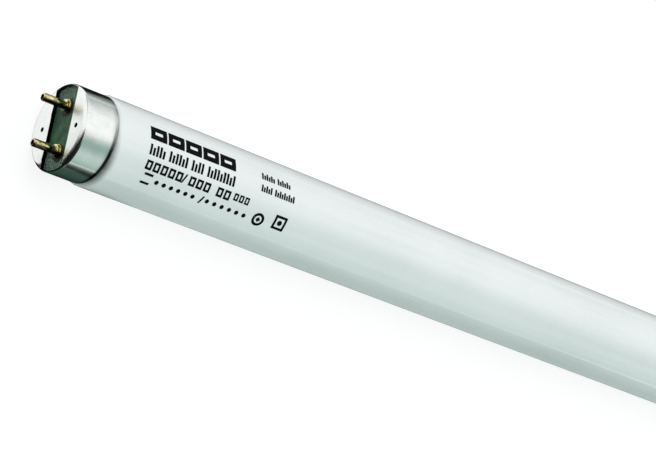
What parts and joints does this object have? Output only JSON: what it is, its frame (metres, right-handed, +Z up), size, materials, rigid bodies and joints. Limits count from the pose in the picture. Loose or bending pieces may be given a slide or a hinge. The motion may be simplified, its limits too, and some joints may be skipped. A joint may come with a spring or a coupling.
{
  "type": "uv black light bulb",
  "caption": "Straight white-coated glass ultraviolet lamp tube with slotted aluminium caps, laminate insulators and hollow brass contact pins at its ends.",
  "frame": {"origin": "centre of the lamp, on the glass tube's axis, halfway between the two cap faces", "axes": "+X along the lamp from the left cap to the right cap, +Y from pin b to pin a of each cap, +Z up"},
  "size_m": [0.4516, 0.026, 0.026],
  "materials": {
    "coated_glass": "glossy outside, white coating inside",
    "cap_aluminium": "drawn, satin",
    "laminate": "matt dark green laminate",
    "brass": "turned",
    "lead_wire": "drawn wire",
    "cement": "baked basing cement"
  },
  "bodies": {
    "root": {"glass_tube": "coated_glass", "left_cap_shell": "cap_aluminium", "left_insulator": "laminate", "left_basing_cement": "cement", "left_pin_a": "brass", "left_pin_b": "brass", "left_lead_wire_a": "lead_wire", "left_lead_wire_b": "lead_wire", "right_cap_shell": "cap_aluminium", "right_insulator": "laminate", "right_basing_cement": "cement", "right_pin_a": "brass", "right_pin_b": "brass", "right_lead_wire_a": "lead_wire", "right_lead_wire_b": "lead_wire"}
  },
  "joints": []
}
